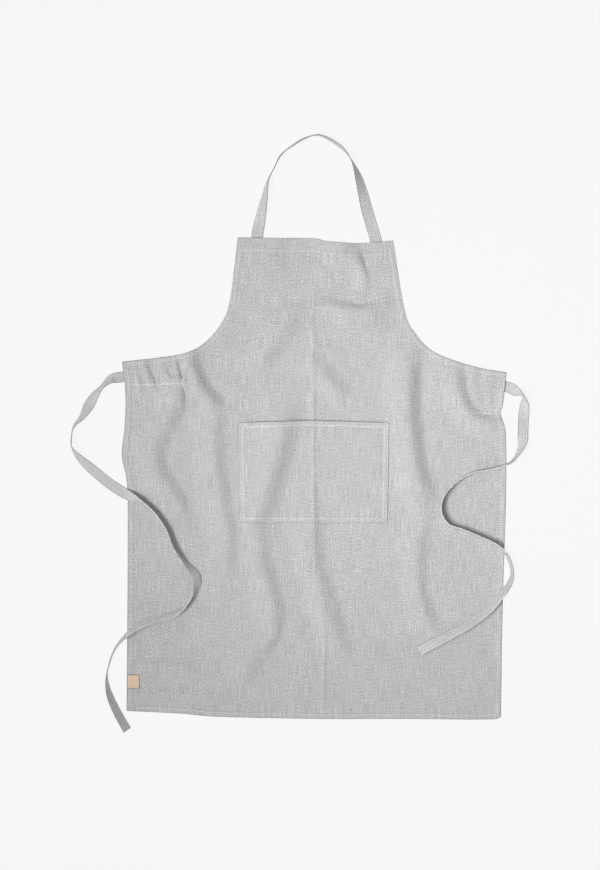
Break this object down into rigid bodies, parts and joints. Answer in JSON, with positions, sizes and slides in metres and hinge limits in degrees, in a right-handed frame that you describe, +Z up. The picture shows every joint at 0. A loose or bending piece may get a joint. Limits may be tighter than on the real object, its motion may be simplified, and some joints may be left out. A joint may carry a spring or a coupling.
{
  "type": "linen apron",
  "caption": "Bib apron of plain linen laid out flat, with a neck strap, waist ties that run in tunnels at the waist corners, a patch pocket and a small leather tab.",
  "frame": {"origin": "on the table, under the middle of the space that the laid-out apron takes", "axes": "+X to the right across the front, +Y from the hem to the bib, +Z up from the table, out of the front of the cloth"},
  "size_m": [0.8567, 1.1154, 0.0276],
  "materials": {
    "linen": "matt plain weave with slubs",
    "leather": "matt undyed"
  },
  "bodies": {
    "root": {"apron_panel": "linen", "pocket": "linen", "neck_strap": "linen", "left_tie": "linen", "right_tie": "linen", "left_facing": "linen", "right_facing": "linen", "leather_tab": "leather"}
  },
  "joints": []
}
